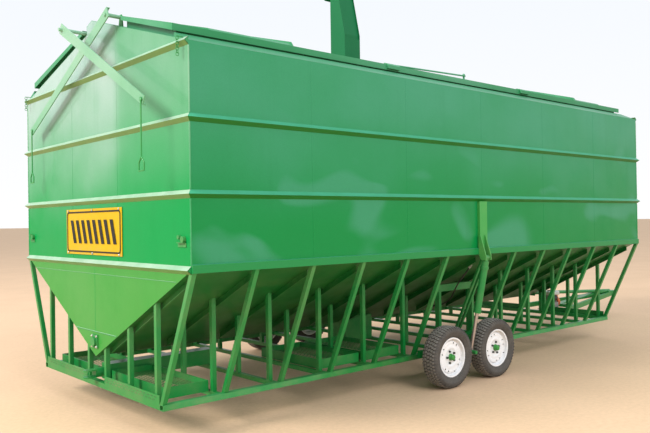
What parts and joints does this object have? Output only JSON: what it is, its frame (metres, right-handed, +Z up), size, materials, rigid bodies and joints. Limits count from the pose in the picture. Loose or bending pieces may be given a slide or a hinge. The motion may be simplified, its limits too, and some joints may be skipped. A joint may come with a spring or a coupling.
{
  "type": "grain cart",
  "caption": "Towable steel field bin for grain: ribbed box on a V hopper and skid frame, hinged roof lids, vertical unloading riser and lift-up tandem wheels.",
  "frame": {"origin": "on the ground under the middle of the overall length and width, wheels down", "axes": "+X towards the drawbar, +Z up, -Y is the side with the long lid edge nearest"},
  "size_m": [10.15, 3.666, 4.7399],
  "materials": {
    "green_paint": "semi-gloss enamel",
    "light_green_paint": "semi-gloss enamel, sun-lit panels",
    "dark_green_paint": "semi-gloss enamel",
    "sign_yellow": "reflective sheet on plate",
    "steel": "bare worn steel",
    "galvanised": "galvanised",
    "white_wheel": "gloss white wheel enamel",
    "tyre_rubber": "dusty",
    "hose_rubber": "satin",
    "engine_paint": "satin"
  },
  "bodies": {
    "bin": {"side_wall_near": "green_paint", "side_wall_far": "green_paint", "end_wall_rear": "light_green_paint", "end_wall_front": "green_paint", "wall_ribs": "green_paint", "bottom_rails": "green_paint", "hopper_slope_near": "dark_green_paint", "hopper_slope_far": "dark_green_paint", "hopper_end_plates": "light_green_paint", "hopper_stiffeners": "dark_green_paint", "roof_deck": "green_paint", "hatch_coamings": "dark_green_paint", "shaft_bearings": "green_paint", "skid_rails": "green_paint", "cross_members": "green_paint", "kick_plates": "green_paint", "outer_struts": "green_paint", "hopper_posts": "green_paint", "mesh_platforms": "galvanised", "platform_frames": "green_paint", "tow_beam": "green_paint", "rear_hitch": "steel", "sign_plate": "sign_yellow", "corner_fittings": "galvanised", "side_posts": "green_paint", "lift_cylinders": "green_paint", "arm_brackets": "green_paint", "lift_frame": "dark_green_paint", "sump_box": "dark_green_paint", "riser_casing": "green_paint", "discharge_head": "green_paint", "screw_bearings": "dark_green_paint", "engine": "engine_paint", "drawbar": "green_paint", "tow_clevis": "galvanised", "hydraulic_hoses": "hose_rubber"},
    "near_lid_body": {"near_lid": "green_paint", "near_lid_shaft": "light_green_paint"},
    "far_lid_body": {"far_lid": "green_paint", "far_lid_shaft": "light_green_paint"},
    "near_pull": {"near_pull_rod": "dark_green_paint"},
    "far_pull": {"far_pull_rod": "dark_green_paint"},
    "near_arm": {"lift_arm_near": "green_paint"},
    "far_arm": {"lift_arm_far": "green_paint"},
    "near_ram": {"lift_rod_near": "steel"},
    "far_ram": {"lift_rod_far": "steel"},
    "near_rocker": {"rocker_near": "green_paint"},
    "far_rocker": {"rocker_far": "green_paint"},
    "rear_screw": {"trough_screw_rear": "steel"},
    "front_screw": {"trough_screw_front": "steel"},
    "riser_auger": {"riser_screw": "steel"},
    "wheel_set_near_rear": {"tyre_near_rear": "tyre_rubber", "wheel_near_rear": "white_wheel"},
    "wheel_set_near_front": {"tyre_near_front": "tyre_rubber", "wheel_near_front": "white_wheel"},
    "wheel_set_far_rear": {"tyre_far_rear": "tyre_rubber", "wheel_far_rear": "white_wheel"},
    "wheel_set_far_front": {"tyre_far_front": "tyre_rubber", "wheel_far_front": "white_wheel"}
  },
  "joints": [
    {"name": "near_lid_hinge", "type": "hinge", "parent": "bin", "child": "near_lid_body", "pos_m": [0, -0.535, 3.565], "axis": [-1, 0, 0], "range_deg": [0, 95]},
    {"name": "far_lid_hinge", "type": "hinge", "parent": "bin", "child": "far_lid_body", "pos_m": [0, 0.155, 3.56], "axis": [1, 0, 0], "range_deg": [0, 75]},
    {"name": "near_pull_pivot", "type": "hinge", "parent": "near_lid_body", "child": "near_pull", "pos_m": [-4.941, 1.271, 2.749], "axis": [1, 0, 0], "range_deg": [-15, 100]},
    {"name": "far_pull_pivot", "type": "hinge", "parent": "far_lid_body", "child": "far_pull", "pos_m": [-5.051, -1.396, 2.705], "axis": [1, 0, 0], "range_deg": [-100, 15]},
    {"name": "near_arm_hinge", "type": "hinge", "parent": "bin", "child": "near_arm", "pos_m": [-0.805, -1.315, 0.453], "axis": [0, 1, 0], "range_deg": [0, 28.3]},
    {"name": "far_arm_hinge", "type": "hinge", "parent": "bin", "child": "far_arm", "pos_m": [-0.805, 1.315, 0.453], "axis": [0, 1, 0], "range_deg": [0, 28.3]},
    {"name": "near_ram_slide", "type": "slide", "parent": "bin", "child": "near_ram", "axis": [0.0404, -0.1827, 0.9823], "range_m": [0, 0.275]},
    {"name": "far_ram_slide", "type": "slide", "parent": "bin", "child": "far_ram", "axis": [0.0404, 0.1827, 0.9823], "range_m": [0, 0.275]},
    {"name": "near_rocker_pivot", "type": "hinge", "parent": "near_arm", "child": "near_rocker", "pos_m": [-1.32, -1.475, 0.3215], "axis": [0, 1, 0], "range_deg": [-28.3, 0]},
    {"name": "far_rocker_pivot", "type": "hinge", "parent": "far_arm", "child": "far_rocker", "pos_m": [-1.32, 1.475, 0.3215], "axis": [0, 1, 0], "range_deg": [-28.3, 0]},
    {"name": "axle_near_rear", "type": "hinge", "parent": "near_rocker", "child": "wheel_set_near_rear", "pos_m": [-1.71, -1.61, 0.3215], "axis": [0, 1, 0], "continuous": true},
    {"name": "axle_near_front", "type": "hinge", "parent": "near_rocker", "child": "wheel_set_near_front", "pos_m": [-0.93, -1.61, 0.3215], "axis": [0, 1, 0], "continuous": true},
    {"name": "axle_far_rear", "type": "hinge", "parent": "far_rocker", "child": "wheel_set_far_rear", "pos_m": [-1.71, 1.61, 0.3215], "axis": [0, 1, 0], "continuous": true},
    {"name": "axle_far_front", "type": "hinge", "parent": "far_rocker", "child": "wheel_set_far_front", "pos_m": [-0.93, 1.61, 0.3215], "axis": [0, 1, 0], "continuous": true},
    {"name": "rear_screw_spin", "type": "hinge", "parent": "bin", "child": "rear_screw", "pos_m": [-3.325, 0, 0.675], "axis": [1, 0, 0], "continuous": true},
    {"name": "front_screw_spin", "type": "hinge", "parent": "bin", "child": "front_screw", "pos_m": [0.575, 0, 0.675], "axis": [1, 0, 0], "continuous": true},
    {"name": "riser_spin", "type": "hinge", "parent": "bin", "child": "riser_auger", "pos_m": [-1.5975, 0, 2], "axis": [0, 0, 1], "continuous": true}
  ],
  "couplings": [
    {"joint": "far_arm_hinge", "follows": "near_arm_hinge", "ratio": 1},
    {"joint": "near_ram_slide", "follows": "near_arm_hinge", "m_per_rad": 0.53559},
    {"joint": "far_ram_slide", "follows": "near_arm_hinge", "m_per_rad": 0.53559},
    {"joint": "near_rocker_pivot", "follows": "near_arm_hinge", "ratio": -1},
    {"joint": "far_rocker_pivot", "follows": "near_arm_hinge", "ratio": -1}
  ]
}
